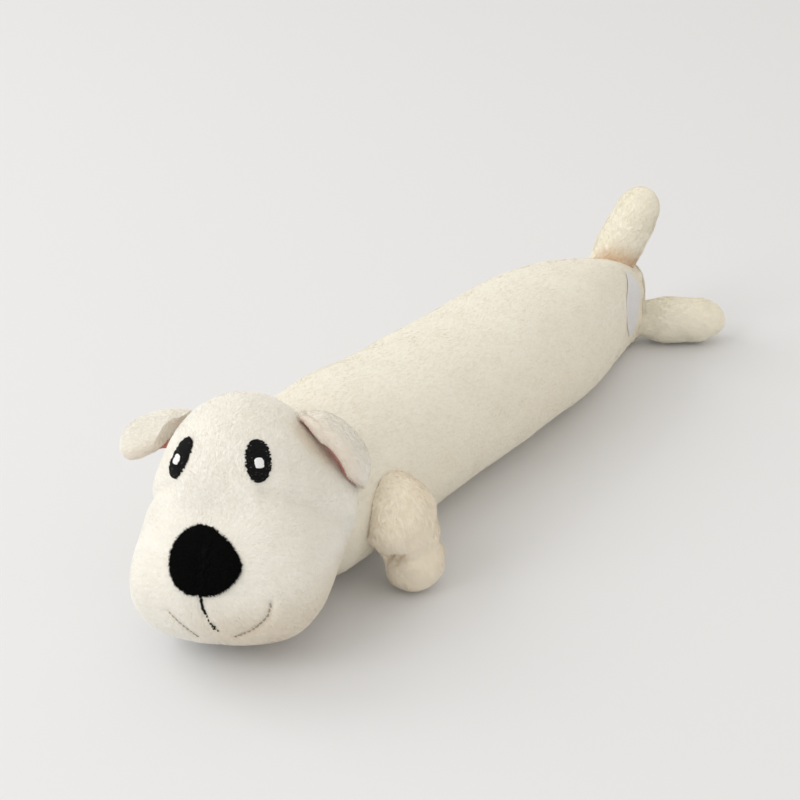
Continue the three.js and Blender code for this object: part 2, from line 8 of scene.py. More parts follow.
import bpy
import numpy as np
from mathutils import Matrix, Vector


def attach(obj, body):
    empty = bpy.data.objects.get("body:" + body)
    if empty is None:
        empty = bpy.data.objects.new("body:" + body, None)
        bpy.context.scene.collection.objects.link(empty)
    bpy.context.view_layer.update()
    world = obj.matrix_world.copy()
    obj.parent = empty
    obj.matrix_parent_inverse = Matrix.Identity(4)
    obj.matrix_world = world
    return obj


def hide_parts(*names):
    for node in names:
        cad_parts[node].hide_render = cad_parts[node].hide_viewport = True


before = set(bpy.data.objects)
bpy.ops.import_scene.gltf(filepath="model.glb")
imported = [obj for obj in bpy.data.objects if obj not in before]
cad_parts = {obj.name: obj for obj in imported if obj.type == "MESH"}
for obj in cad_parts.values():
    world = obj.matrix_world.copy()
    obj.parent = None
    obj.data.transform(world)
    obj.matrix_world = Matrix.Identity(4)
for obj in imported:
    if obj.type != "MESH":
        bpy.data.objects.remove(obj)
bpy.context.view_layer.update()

scene = bpy.context.scene

# Camera and room. The camera looks down on the toy from ahead of its left shoulder. Two large soft
# lamps stand above the pale floor, to the picture's left and ahead, in an even, slightly warm sky.
azimuth, elevation, distance = math.radians(36), math.radians(28), 1.013
target = Vector((-0.0297, -0.0278, 0.0275))
level = math.cos(elevation)
back = Vector((math.sin(azimuth) * level, -math.cos(azimuth) * level, math.sin(elevation)))
camera = bpy.data.objects.new("camera", bpy.data.cameras.new("camera"))
camera.data.lens = 90
camera.location = target + back * distance
camera.rotation_euler = (-back).to_track_quat("-Z", "Y").to_euler()
scene.collection.objects.link(camera)
scene.camera = camera


class Value:
    """A shader socket in an expression: arithmetic on it adds Math nodes to its material."""

    def __init__(self, finish, socket):
        self.finish = finish
        self.socket = socket

    def math(self, operation, *values):
        return self.finish.node("Math", {"operation": operation}, dict(enumerate(values)))

    def __add__(self, other):
        return self.math("ADD", self, other)

    def __sub__(self, other):
        return self.math("SUBTRACT", self, other)

    def __mul__(self, other):
        return self.math("MULTIPLY", self, other)


class Finish:
    """A material in the making. Constants go straight onto the shader's sockets."""

    def __init__(self, name, constants):
        self.material = bpy.data.materials.new(name)
        self.material.use_nodes = True
        self.tree = self.material.node_tree
        self.shader = self.tree.nodes["Principled BSDF"]
        for socket, value in constants.items():
            self.shader.inputs[socket].default_value = value

    def node(self, kind, settings, inputs, output=0):
        """Any shader node: its settings first, then the values or links of its sockets."""
        node = self.tree.nodes.new("ShaderNode" + kind)
        for name, setting in settings.items():
            setattr(node, name, setting)
        for name, value in inputs.items():
            if isinstance(value, Value):
                self.tree.links.new(value.socket, node.inputs[name])
            else:
                node.inputs[name].default_value = value
        return Value(self, node.outputs[output])

    def noise(self, scale, detail=2.0, vector=None):
        """Smooth noise, about 0.3 to 0.7, with its middle at 0.5, in the object's own space unless a
        vector is given."""
        place = vector or self.node("TexCoord", {}, {}, "Object")
        inputs = {"Vector": place, "Scale": scale, "Detail": detail}
        return self.node("TexNoise", {}, inputs, "Fac")

    def between(self, factor, low, high):
        """A colour between two others."""
        low, high = (c if isinstance(c, Value) else (*c, 1) for c in (low, high))
        return self.node("Mix", {"data_type": "RGBA"}, {0: factor, 6: low, 7: high}, 2)

    def feed(self, socket, value):
        self.tree.links.new(value.socket, self.shader.inputs[socket])

    def bump(self, height, distance):
        """Tilts the shading as if the surface rose by the height, from 0 to 1, times a distance in
        metres."""
        self.feed("Normal", self.node("Bump", {}, {"Height": height, "Distance": distance}))


far, low = 4, -0.0003
floor_mesh = bpy.data.meshes.new("floor")
corners = [(-far, -far, low), (far, -far, low), (far, far, low), (-far, far, low)]
floor_mesh.from_pydata(corners, [], [(0, 1, 2, 3)])
floor = bpy.data.objects.new("floor", floor_mesh)
floor_paint = Finish("pale_floor", {"Base Color": (0.8, 0.81, 0.84, 1), "Roughness": 0.8})
floor_mesh.materials.append(floor_paint.material)
scene.collection.objects.link(floor)


def soft_lamp(name, place, target, size, watts, colour):
    """A square area lamp at a place, in metres, turned toward a target."""
    lamp = bpy.data.lights.new(name, "AREA")
    lamp.size = size
    lamp.energy = watts
    lamp.color = colour
    holder = bpy.data.objects.new(name, lamp)
    holder.location = place
    aim = Vector(target) - Vector(place)
    holder.rotation_euler = aim.to_track_quat("-Z", "Y").to_euler()
    scene.collection.objects.link(holder)


soft_lamp(
    "window_lamp", place=(-1.6, -0.55, 1.5), target=(0, 0, 0), size=1.3, watts=10, colour=(0.96, 0.99, 1)
)
soft_lamp("front_lamp", place=(-0.6, -1.8, 1.5), target=(0, 0, 0.03), size=1.2, watts=12, colour=(1, 1, 1))
world = bpy.data.worlds.new("even_sky")
world.use_nodes = True
sky = world.node_tree.nodes["Background"].inputs
sky["Color"].default_value = (1, 0.965, 0.9, 1)
sky["Strength"].default_value = 0.77
scene.world = world
scene.view_settings.view_transform = "Standard"

# Body: a long stuffed tube of short cream plush, round at the chest and pinched flat into the seam
# at the rear. It lies on the floor with its belly pressed flat. Along it, s runs from 0 at the neck
# to 1 at the rear seam, and so do the places below that are shares of its length.
PLUSH_WALL = 1.8
BODY_LENGTH = 296
CHEST_RADIUS = 41
MIDDLE_RADIUS = 40
REAR_HALF_HEIGHT = 24
REAR_HALF_WIDTH = 11
REAR_DOME_DEPTH = 4
REAR_SQUARE_POWER = 2.8
PINCH_START = 0.6
BACK_FALL_POWER = 2.2
NECK_OPENING_RADIUS = 24
NECK_Y = -BODY_LENGTH / 2
REAR_Y = BODY_LENGTH / 2
SOLID_SIDES = 20
FLAT_SHARE = math.cos(math.pi / SOLID_SIDES)
FLOOR_PRESS = 0.5
GAP = 0.35


def smooth(t):
    """An even rise from 0 to 1 that starts and ends level: 3t² - 2t³."""
    t = np.clip(t, 0, 1)
    return t * t * (3 - 2 * t)


def bell(distance, reach):
    """1 at no distance, falling to 1/e at the reach: e to the power of -(distance/reach)²."""
    return np.exp(-((distance / reach) ** 2))


def signed_power(value, power):
    """The power of the size of a value, with the value's own sign."""
    return np.sign(value) * np.abs(value) ** power


def body_half_height(s):
    """Half the tube's height: chest to middle over the first half, then a late fall to the rear."""
    front = CHEST_RADIUS + (MIDDLE_RADIUS - CHEST_RADIUS) * smooth(2 * s)
    return front - (MIDDLE_RADIUS - REAR_HALF_HEIGHT) * np.maximum(0, 2 * s - 1) ** BACK_FALL_POWER


def pinch_at(s):
    """0 where the tube is round, rising to 1 at the rear seam."""
    return np.maximum(0, (s - PINCH_START) / (1 - PINCH_START))


def section_bend(s):
    """The power that turns a circle's cosine and sine into a squarer section toward the rear."""
    return 2 / (2 + (REAR_SQUARE_POWER - 2) * pinch_at(s))


def section_middle(s):
    """Height of the section's middle, so that the lowest flat of the solid, whose section has
    SOLID_SIDES sides, stays on the floor."""
    return body_half_height(s) * FLAT_SHARE ** section_bend(s)


def body_half_width(s):
    """Half the tube's width: its half height, pinched to the rear seam by a square law."""
    high = body_half_height(s)
    return high + (REAR_HALF_WIDTH - high) * pinch_at(s) ** 2


def body_point(u, v, margin):
    """Round the tube with u, from below, and along it with v: a superellipse whose half width and
    half height follow the length. v below 0 is the round cap at the neck, and v above 1 the dome
    behind the seam. Heights under the floor are pressed up by the root of z² + FLOOR_PRESS²."""
    angle = 2 * np.pi * u - np.pi / 2
    s = np.clip(v, 0, 1)
    y = NECK_Y + BODY_LENGTH * v
    half_width = body_half_width(s) + margin
    half_height = body_half_height(s) + margin
    polar = (np.pi / 2) * np.clip(1 + v, 0, 1)
    cap = (CHEST_RADIUS + margin) * np.sin(polar)
    y = np.where(v < 0, NECK_Y - (CHEST_RADIUS + margin) * np.cos(polar), y)
    half_width = np.where(v < 0, cap, half_width)
    half_height = np.where(v < 0, cap, half_height)
    dome = (np.pi / 2) * np.clip(v - 1, 0, 1)
    y = np.where(v > 1, REAR_Y + (REAR_DOME_DEPTH + margin) * np.sin(dome), y)
    half_width = half_width * np.cos(dome)
    half_height = half_height * np.cos(dome)
    bend = section_bend(s)
    across = half_width * signed_power(np.cos(angle), bend)
    rise = section_middle(s) + half_height * signed_power(np.sin(angle), bend)
    rise = (rise + np.sqrt(rise * rise + FLOOR_PRESS * FLOOR_PRESS)) / 2
    return np.stack(np.broadcast_arrays(across, y, rise), -1)


def lumps(points, wavelength, seed):
    """Soft lumps of stuffing, about -1 to 1: the mean of plane waves in drawn directions."""
    count = 12
    draw = np.random.default_rng(seed)
    waves = draw.normal(size=(count, 3))
    waves *= (2 * np.pi / wavelength / np.linalg.norm(waves, axis=1))[:, None]
    starts = draw.uniform(0, 2 * np.pi, count)
    return np.sin(points @ waves.T + starts).sum(-1) / math.sqrt(2 * count)


def norm(vectors):
    """The lengths of vectors."""
    return np.linalg.norm(vectors, axis=-1)


def unit(vectors):
    """Vectors made one long."""
    return vectors / np.maximum(norm(vectors), 1e-12)[..., None]


def grid(across, along):
    """Rows and columns of u and v from 0 to 1, as two arrays."""
    v, u = np.meshgrid(np.linspace(0, 1, along + 1), np.linspace(0, 1, across + 1), indexing="ij")
    return u, v


def skin(points, u, v, painted_shade=0.0):
    """Triangles over a grid of points[row, column], with shared points where rows or columns meet
    and nothing where they have closed up: points, triangles, and u, v and painted shade per corner."""
    rows, columns = points.shape[:2]
    index = np.arange(rows * columns).reshape(rows, columns)
    a, b = index[:-1, :-1].ravel(), index[1:, :-1].ravel()
    c, d = index[1:, 1:].ravel(), index[:-1, 1:].ravel()
    corners = np.concatenate([np.stack([a, c, b], 1), np.stack([a, d, c], 1)])
    flat = points.reshape(-1, 3)
    steps_per_mm = 1e3
    places = np.round(flat * steps_per_mm).astype(np.int64)
    _, first, shared = np.unique(places, axis=0, return_index=True, return_inverse=True)
    triangles = shared.ravel()[corners]
    kept = (triangles[:, 0] != triangles[:, 1]) & (triangles[:, 1] != triangles[:, 2])
    kept &= triangles[:, 2] != triangles[:, 0]
    marks = np.stack(np.broadcast_arrays(u, v, painted_shade), -1).reshape(-1, 3)
    return flat[first], triangles[kept], marks[corners[kept]]


def normals_of(points, triangles):
    """Each point's outward direction: the sum of its triangles' cross products, made unit length."""
    a, b, c = (points[triangles[:, k]] for k in range(3))
    face = np.cross(b - a, c - a)
    total = np.zeros_like(points)
    for k in range(3):
        np.add.at(total, triangles[:, k], face)
    return unit(total)


def turned_out(cover, inside=None):
    """The same skin with its faces turned away from a point inside it, or else from its middle."""
    points, triangles, marks = cover
    inside = points.mean(0) if inside is None else inside
    a, b, c = (points[triangles[:, k]] for k in range(3))
    away = (np.cross(b - a, c - a) * ((a + b + c) / 3 - inside)).sum()
    return cover if away > 0 else (points, triangles[:, ::-1], marks[:, ::-1])


def lined(cover, wall):
    """A cloth of even thickness: the skin, the same skin set in by its wall, and their open rims
    joined."""
    points, triangles, marks = cover
    inner = points - normals_of(points, triangles) * wall
    count = len(points)
    ends = ((0, 1), (1, 2), (2, 0))
    edges, sides = (np.concatenate([k[:, pair] for pair in ends]) for k in (triangles, marks))
    keys = np.sort(edges, 1) @ np.array([count, 1])
    _, where, uses = np.unique(keys, return_inverse=True, return_counts=True)
    rim = uses[where.ravel()] == 1
    a, b = edges[rim].T
    at_a, at_b = sides[rim, 0], sides[rim, 1]
    border = np.concatenate([np.stack([b, a, a + count], 1), np.stack([b, a + count, b + count], 1)])
    border_marks = np.concatenate([np.stack([at_b, at_a, at_a], 1), np.stack([at_b, at_a, at_b], 1)])
    return (
        np.concatenate([points, inner]),
        np.concatenate([triangles, triangles[:, ::-1] + count, border]),
        np.concatenate([marks, marks[:, ::-1], border_marks]),
    )


def pile(cover, comb, count, length, width, rise, seed):
    """Pile on a skin: flat blades, rooted at drawn places, even by area. A blade runs along
    comb(places), turned by soft waves and a small drawn angle, is shorter where the comb points off
    the skin, and lifts off it by about rise, as a share of its length. Each is closed: a flat top,
    and a keel under it in the cloth."""
    standing, wave, wavelength, stray, roll_spread = 0.35, 0.45, 17, 0.22, 0.2
    shortest, keel = 0.55, 0.4
    points, triangles, marks = cover
    draw = np.random.default_rng(seed)
    a, b, c = (points[triangles[:, k]] for k in range(3))
    area = norm(np.cross(b - a, c - a))
    chosen = np.searchsorted(np.cumsum(area) / area.sum(), draw.uniform(size=count))
    shares = draw.dirichlet((1, 1, 1), count)
    corners = triangles[chosen]
    root = (points[corners] * shares[..., None]).sum(1)
    out = unit((normals_of(points, triangles)[corners] * shares[..., None]).sum(1))
    mark = (marks[chosen] * shares[..., None]).sum(1)
    toward = unit(comb(root))
    toward = toward - out * (toward * out).sum(1)[:, None]
    lying = standing + (1 - standing) * norm(toward)
    toward = unit(toward)
    turn = (wave * lumps(root, wavelength, seed + 1) + draw.normal(scale=stray, size=count))[:, None]
    toward = toward * np.cos(turn) + np.cross(out, toward) * np.sin(turn)
    roll = draw.normal(scale=roll_spread, size=count)[:, None]
    side = np.cross(out, toward) * np.cos(roll) + out * np.sin(roll)
    reach = (length * lying * draw.uniform(shortest, 1, count))[:, None]
    lift = (rise * draw.uniform(0.5, 1.5, count))[:, None]
    half = side * width / 2
    tip = root + (toward + out * lift) * reach
    blades = np.stack([root + half, root - half, root - out * width * keel, tip], 1).reshape(-1, 3)
    start = 4 * np.arange(count)[:, None]
    sides = ((0, 1, 3), (1, 2, 3), (2, 0, 3), (0, 2, 1))
    faces = np.concatenate([start + np.array(side) for side in sides])
    return blades, faces, np.tile(mark[:, None, :], (4, 3, 1))


def one_way(direction):
    """A comb that runs the same way all over a piece."""
    return lambda places: np.broadcast_to(direction, places.shape)


def piece(name, covers, tufts, finish, body, replaced=()):
    """Joins skins, shaded smooth up to the sharp edges of their rims, and tufts, shaded flat, into
    one object, in metres, that rides on a CAD body. Its corners keep u and v as the map "cloth", and
    their painted shade as an attribute."""
    sharp_over = math.radians(55)
    parts = [*covers, *tufts]
    counts = np.cumsum([0, *[len(part[0]) for part in parts]])
    points = np.concatenate([part[0] for part in parts]) / 1000
    triangles = np.concatenate([part[1] + start for part, start in zip(parts, counts)])
    marks = np.concatenate([part[2] for part in parts])
    even = np.arange(len(triangles)) < sum(len(part[1]) for part in covers)
    mesh = bpy.data.meshes.new(name)
    mesh.vertices.add(len(points))
    mesh.vertices.foreach_set("co", points.astype(np.float32).ravel())
    mesh.loops.add(triangles.size)
    mesh.loops.foreach_set("vertex_index", triangles.astype(np.int32).ravel())
    mesh.polygons.add(len(triangles))
    mesh.polygons.foreach_set("loop_start", np.arange(0, triangles.size, 3, dtype=np.int32))
    mesh.update(calc_edges=True)
    mesh.polygons.foreach_set("use_smooth", even)
    mesh.set_sharp_from_angle(angle=sharp_over)
    cloth = mesh.uv_layers.new(name="cloth")
    cloth.uv.foreach_set("vector", marks[..., :2].astype(np.float32).ravel())
    painted_shade = mesh.attributes.new("painted_shade", "FLOAT", "CORNER")
    painted_shade.data.foreach_set("value", marks[..., 2].astype(np.float32).ravel())
    mesh.materials.append(finish)
    made = bpy.data.objects.new(name, mesh)
    scene.collection.objects.link(made)
    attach(made, body)
    if replaced:
        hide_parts(*replaced)
    return made


def plush_finish(name, low, high, painted_shade_colour, streak, depth):
    """Short plush: two close shades in broad soft patches and finer streaks that lie along the
    cloth, going over to the colour of the painted shade where the piece's painted shade rises, and a
    bump of the same streaks. streak is their count round and along the piece."""
    constants = {"Roughness": 0.95, "Sheen Weight": 0.3, "Sheen Roughness": 0.5}
    constants["Specular IOR Level"] = 0.1
    finish = Finish(name, constants)
    cloth = finish.node("UVMap", {"uv_map": "cloth"}, {})
    combed = finish.node("Mapping", {}, {"Vector": cloth, "Scale": (*streak, 1)})
    painted_shade = finish.node("Attribute", {"attribute_name": "painted_shade"}, {}, "Fac")
    fine = finish.noise(scale=1.0, detail=3.0, vector=combed)
    patches = finish.noise(scale=34.0)
    grain = finish.noise(scale=800.0)
    tone = patches * 0.9 + fine * 0.6 + grain * 0.3 - 0.4
    finish.feed("Base Color", finish.between(painted_shade, finish.between(tone, low, high), painted_shade_colour))
    finish.bump(fine * 0.8 + grain * 0.5, depth)
    return finish.material


# The body's plush: two shades of cream, and the colour of its painted shade.
CREAMS = (0.87, 0.82, 0.7), (0.955, 0.93, 0.85), (0.7, 0.58, 0.38)
body_plush = plush_finish("body_plush", *CREAMS, (230, 70), 0.0004)

NECK_EDGE = (2 / math.pi) * math.asin(NECK_OPENING_RADIUS / CHEST_RADIUS) - 1
SEAM_PLACE = 1 - GAP / BODY_LENGTH
LABEL_HEIGHT, LABEL_FOOT, LABEL_WIDTH, LABEL_SET_IN = 31, 15.5, 26, 6
SEAM_LINE = 1 - LABEL_SET_IN / BODY_LENGTH
BODY_LUMP, BODY_DIMPLE, SHOULDER_SWELL, HOLLOW_DEPTH, GROOVE_DEPTH = 0.55, 0.22, 3, 2.2, 0.8
GATHERS, GATHER_HEIGHT = 13, 0.55


def seam_hollow(u, v):
    """1 in the hollow that the label's stitching pulls into the left side ahead of the label."""
    around, along = 0.28, 0.895
    return bell(u - around, 0.06) * bell(v - along, 0.018)


def body_relief(u, v):
    """How far the stuffed tube stands proud of its plain form: broad lumps, the shoulder's swell,
    and short gathers that run into the groove of the rear seam."""
    shoulder_around, shoulder_along = 0.56, 0.13
    plain = body_point(u, v, 0)
    relief = BODY_LUMP * lumps(plain, wavelength=74, seed=3)
    relief = relief + BODY_DIMPLE * lumps(plain, wavelength=24, seed=4)
    shoulder = bell(u - shoulder_around, 0.1) * bell(v - shoulder_along, 0.09)
    gathers = np.sin(2 * np.pi * GATHERS * u + 3 * np.sin(2 * np.pi * u)) * bell(1 - v, 0.035)
    groove = bell(v - SEAM_LINE, 0.006)
    relief = relief + SHOULDER_SWELL * shoulder + GATHER_HEIGHT * gathers
    return relief - HOLLOW_DEPTH * seam_hollow(u, v) - GROOVE_DEPTH * groove


def body_skin(u, v):
    """The plush outside: the plain form grown outward by its relief."""
    return body_point(u, v, body_relief(u, v))


def body_painted_shade(u, v, height):
    """Painted shade on the body's plush: in the hollow, over the last tenth of the tube toward the
    rear seam, and low on its sides.
    """
    rear_from, unshaded_above = 0.9, 75
    painted_shade = 0.3 * seam_hollow(u, v) + 0.1 * smooth((v - rear_from) / 0.1)
    return painted_shade + 0.2 * smooth((unshaded_above - height) / 50)


u, t = grid(168, 240)
v = NECK_EDGE + (SEAM_PLACE - NECK_EDGE) * t
shape = body_skin(u, v)
cover = skin(shape, u, v, body_painted_shade(u, v, shape[..., 2]))
cover = turned_out(cover, (0, 0, MIDDLE_RADIUS))
to_the_rear = one_way((0.0, 1.0, -0.25))
tufts = pile(cover, to_the_rear, count=60000, length=2.6, width=0.34, rise=0.11, seed=11)
cloth = [lined(cover, PLUSH_WALL)]
body = piece("plush_body", cloth, [tufts], body_plush, "body", ["body_cover"])

# Rear panel: the oval of the same plush that closes the tube behind its seam.
# The panel's plush carries a light painted shade all over.
PANEL_RISE, PANEL_PAINTED_SHADE = 0.4, 0.15
u, t = grid(140, 24)
panel = skin(body_point(u, 1 + t, PANEL_RISE * (1 - t)), u, t, PANEL_PAINTED_SHADE)
panel = turned_out(panel, (0, REAR_Y - 5, REAR_HALF_HEIGHT))
tufts = pile(panel, one_way((0.0, 0.0, -1.0)), count=3600, length=1.7, width=0.42, rise=0.25, seed=12)
cloth = [lined(panel, PLUSH_WALL)]
rear = piece("plush_rear_panel", cloth, [tufts], body_plush, "body", ["rear_panel"])

# Head: two halves of plush sewn together along the middle of the face and stuffed: a round
# cranium, a lower and wider muzzle in front of it, a swelling for each jowl and a dip at the brow.
# A fold runs down each cheek behind the jowl, and the smile is a sewn-in line.
HEAD_MIDDLE = np.array((-11.5, -43, 5))
NECK_PIVOT = np.array((0, NECK_Y, CHEST_RADIUS * FLAT_SHARE))
CRANIUM_MIDDLE, CRANIUM_HALF = np.array((0, 8.8, 6.3)), np.array((38.7, 42.1, 48.5))
MUZZLE_MIDDLE, MUZZLE_HALF = np.array((0, -8, -12)), np.array((42.1, 46.6, 34.9))
MERGE_POWER = 9
JOWL_SWELL, BROW_DIP = 6.3, 4
HEAD_TURN, HEAD_TILT, HEAD_NOD = 21.6, 5.2, -5.5


def turned(axis, degrees):
    """The matrix of a turn about an axis, which is 0, 1 or 2 for x, y or z."""
    angle = math.radians(degrees)
    i, j = (axis + 1) % 3, (axis + 2) % 3
    matrix = np.eye(3)
    matrix[i, i] = matrix[j, j] = math.cos(angle)
    matrix[j, i] = math.sin(angle)
    matrix[i, j] = -math.sin(angle)
    return matrix


HEAD_MATRIX = turned(2, HEAD_TURN) @ turned(1, -HEAD_TILT) @ turned(0, HEAD_NOD)


def head_to_frame(points):
    """Turns points of the head, about the neck's pivot, into the frame of the whole toy."""
    return points @ HEAD_MATRIX.T + NECK_PIVOT


def ellipsoid_reach(d, middle, half):
    """Distance along d to an ellipsoid: the far root of the quadratic of a line and a ball."""
    scaled, offset = d / half, middle / half
    a = (scaled**2).sum(-1)
    b = (scaled * offset).sum(-1)
    return (b + np.sqrt(b * b - a * ((offset**2).sum() - 1))) / a


JOWL = unit((0.62, -0.62, -0.48))
BROW = unit((0, -0.86, 0.5))


def mirrored(d):
    """The direction on the left half that matches each direction."""
    return np.stack([np.abs(d[..., 0]), d[..., 1], d[..., 2]], -1)


def head_radius(d):
    """Distance from the head's middle to its skin: the two ellipsoids joined by a power mean, plus
    a bell-shaped swelling for each jowl, less one for the dip at the brow."""
    back = ellipsoid_reach(d, CRANIUM_MIDDLE, CRANIUM_HALF)
    front = ellipsoid_reach(d, MUZZLE_MIDDLE, MUZZLE_HALF)
    both = (back**MERGE_POWER + front**MERGE_POWER) ** (1 / MERGE_POWER)
    jowl = bell(norm(mirrored(d) - JOWL), 0.4)
    brow = bell(norm(d - BROW), 0.346)
    return both + JOWL_SWELL * jowl - BROW_DIP * brow


def head_direction(u, v):
    """From the head's middle: round its long axis with u, from below, and from nose to back with v."""
    angle, polar = (u - 0.25) * 2 * np.pi, np.pi * v
    ring = np.sin(polar)
    parts = ring * np.cos(angle), -np.cos(polar), ring * np.sin(angle)
    return np.stack(np.broadcast_arrays(*parts), -1)


def beside_line(d, line):
    """How far each direction is from a chain of directions: the least distance to its pieces."""
    chain = unit(line)
    least = np.full(d.shape[:-1], np.inf)
    for start, end in zip(chain[:-1], chain[1:]):
        along = end - start
        share = np.clip((d - start) @ along / (along @ along), 0, 1)
        least = np.minimum(least, norm(d - start - share[..., None] * along))
    return least


LIP_LINE = ((0, -0.99, -0.14), (0.006, -0.98, -0.19), (0.014, -0.97, -0.25), (0.026, -0.95, -0.31))
CHIN_LINE = ((0.026, -0.95, -0.31), (0.045, -0.93, -0.36), (0.06, -0.91, -0.41), (0.1, -0.89, -0.455))
LEFT_SMILE = (
    (0.18, -0.83, -0.53), (0.26, -0.834, -0.487), (0.34, -0.83, -0.44),
    (0.41, -0.83, -0.38), (0.46, -0.825, -0.33), (0.5, -0.83, -0.24),
)
RIGHT_SMILE = (
    (-0.1, -0.82, -0.56), (-0.14, -0.864, -0.483), (-0.19, -0.886, -0.42),
    (-0.235, -0.9, -0.363), (-0.28, -0.91, -0.31),
)
CHEEK_FOLD = (
    (0.52, -0.55, 0.65), (0.76, -0.4, 0.51), (0.96, -0.13, 0.25),
    (0.99, 0.08, 0.03), (0.96, 0.2, -0.2),
)
FLANK = unit((0.87, 0.47, 0.1))
EAR_SHADE = ((0.56, 0.17, 0.8), (0.66, 0.17, 0.72), (0.77, 0.26, 0.57))
HEAD_REACH, HEAD_LUMP, HEAD_DIMPLE, FLANK_SWELL = 40, 0.3, 0.16, 9
FACE_SEAM_DEPTH, FOLD_DEPTH, FOLD_RIDGE, LIP_DEPTH, SMILE_DEPTH = 0.12, 1.7, 0.5, 1.0, 0.9


def beside_smile(d):
    """How far each direction is from the nearer half of the smile."""
    return np.minimum(beside_line(d, LEFT_SMILE), beside_line(d, RIGHT_SMILE))


def head_relief(d):
    """Soft lumps, the shallow seam along the middle of the face, the folds of the cheeks, the left
    flank's swell where the turned head presses on the shoulder, and the sewn-in lip and smile."""
    seam = bell(d[..., 0], 0.032) * (d[..., 1] < 0.4)
    fold = beside_line(mirrored(d), CHEEK_FOLD)
    lip = bell(beside_line(d, LIP_LINE), 0.035) + 0.5 * bell(beside_line(d, CHIN_LINE), 0.03)
    relief = HEAD_LUMP * lumps(d * HEAD_REACH, wavelength=34, seed=7)
    relief = relief + HEAD_DIMPLE * lumps(d * HEAD_REACH, wavelength=12, seed=8)
    relief = relief - FACE_SEAM_DEPTH * seam
    flank = bell(norm(d - FLANK), 0.4)
    relief = relief - FOLD_DEPTH * bell(fold, 0.07) + FOLD_RIDGE * bell(fold - 0.18, 0.1)
    return relief + FLANK_SWELL * flank - LIP_DEPTH * lip - SMILE_DEPTH * bell(beside_smile(d), 0.035)


def head_painted_shade(d):
    """Painted shade on the plush of the head: ahead of each ear's front edge, in the folds and the
    smile, and below, from the chin to the left jowl."""
    ear = bell(beside_line(mirrored(d), EAR_SHADE), 0.11)
    fold = bell(beside_line(mirrored(d), CHEEK_FOLD), 0.03)
    chin_top, chin_side = -0.12, -0.3
    chin = smooth((chin_top - d[..., 2]) / 0.35) * smooth((d[..., 0] - chin_side) / 0.5)
    return 0.5 * ear + 0.3 * bell(beside_smile(d), 0.018) + 0.06 * fold + 0.45 * chin


def head_skin(d, margin=0.0):
    """A point of the plush along a direction, lifted by a margin, in the head's own frame."""
    return d * (head_radius(d) + head_relief(d) + margin)[..., None] + HEAD_MIDDLE


def neck_ring(u):
    """How far back the skin runs at each u: to where it meets the ball of the neck."""
    nearest, tries = 0.45, 500
    steps = np.linspace(nearest, 1, tries)
    places = head_skin(head_direction(u[:, None], steps))
    inside = norm(places) < CHEST_RADIUS + GAP
    return steps[np.argmax(inside, axis=1)]


def head_comb(places):
    """The pile of the face lies back from the nose and a little down."""
    nose, drift = (0, -50, 6), (0, 0.35, -0.2)
    local = (places - NECK_PIVOT) @ HEAD_MATRIX - HEAD_MIDDLE
    return (unit(local - nose) + drift) @ HEAD_MATRIX.T


SEAM_GAP = 0.02
HEAD_PALE = (0.91, 0.88, 0.8), (0.975, 0.96, 0.91)
# The head's plush: two pale shades, and the colour of its painted shade.
head_plush = plush_finish("head_plush", *HEAD_PALE, (0.68, 0.55, 0.38), (190, 46), 0.0009)
for side, name in ((1, "left"), (-1, "right")):
    u, t = grid(116, 176)
    u = side * u / 2
    v = t * neck_ring(u[0])[None, :]
    d = head_direction(u, v)
    half = head_skin(d)
    off_seam = np.maximum(side * (half[..., 0] - HEAD_MIDDLE[0]), 0) + SEAM_GAP
    half[..., 0] = HEAD_MIDDLE[0] + side * off_seam
    half = turned_out(skin(head_to_frame(half), u, v, head_painted_shade(d)), head_to_frame(HEAD_MIDDLE))
    tufts = pile(half, head_comb, count=34000, length=2.4, width=0.38, rise=0.15, seed=20 + side)
    cloth = [lined(half, PLUSH_WALL)]
    made = piece("plush_head_" + name, cloth, [tufts], head_plush, "head", ["head_" + name])

# Nose: a lightly padded patch of short black plush sewn on the muzzle. Its top leans to the dog's
# right, its left corner is low and pointed, and its pile sticks out past its edge.
NOSE_MIDDLE = (0, -43, 5.2)
NOSE_HALF_WIDTH, NOSE_HALF_HEIGHT, NOSE_LEAN, NOSE_TAPER = 14.9, 11.8, -0.45, -0.1
NOSE_LIFT, NOSE_DOME, NOSE_GROOVE, NOSE_RIGHT = 0.3, 2.2, 0.5, 0.3
NOSE_CORNER, NOSE_CORNER_ANGLE, NOSE_RAGGED = 0.05, -0.32, 0.012


def patch_point(middle, cant, right_by, up_by, lift):
    """A point on the head beside a patch's middle, by distances to its right and up, and lifted.
    The patch is turned by cant degrees with its top to the dog's left."""
    out = unit(middle)
    level_right = unit(np.cross((0, 0, 1), out))
    turn = math.radians(cant)
    right = level_right * math.cos(turn) - np.cross(out, level_right) * math.sin(turn)
    up = np.cross(out, right)
    reach = head_radius(out[None])[0]
    d = unit(out * reach + right * np.asarray(right_by)[..., None] + up * np.asarray(up_by)[..., None])
    return head_skin(d, lift)


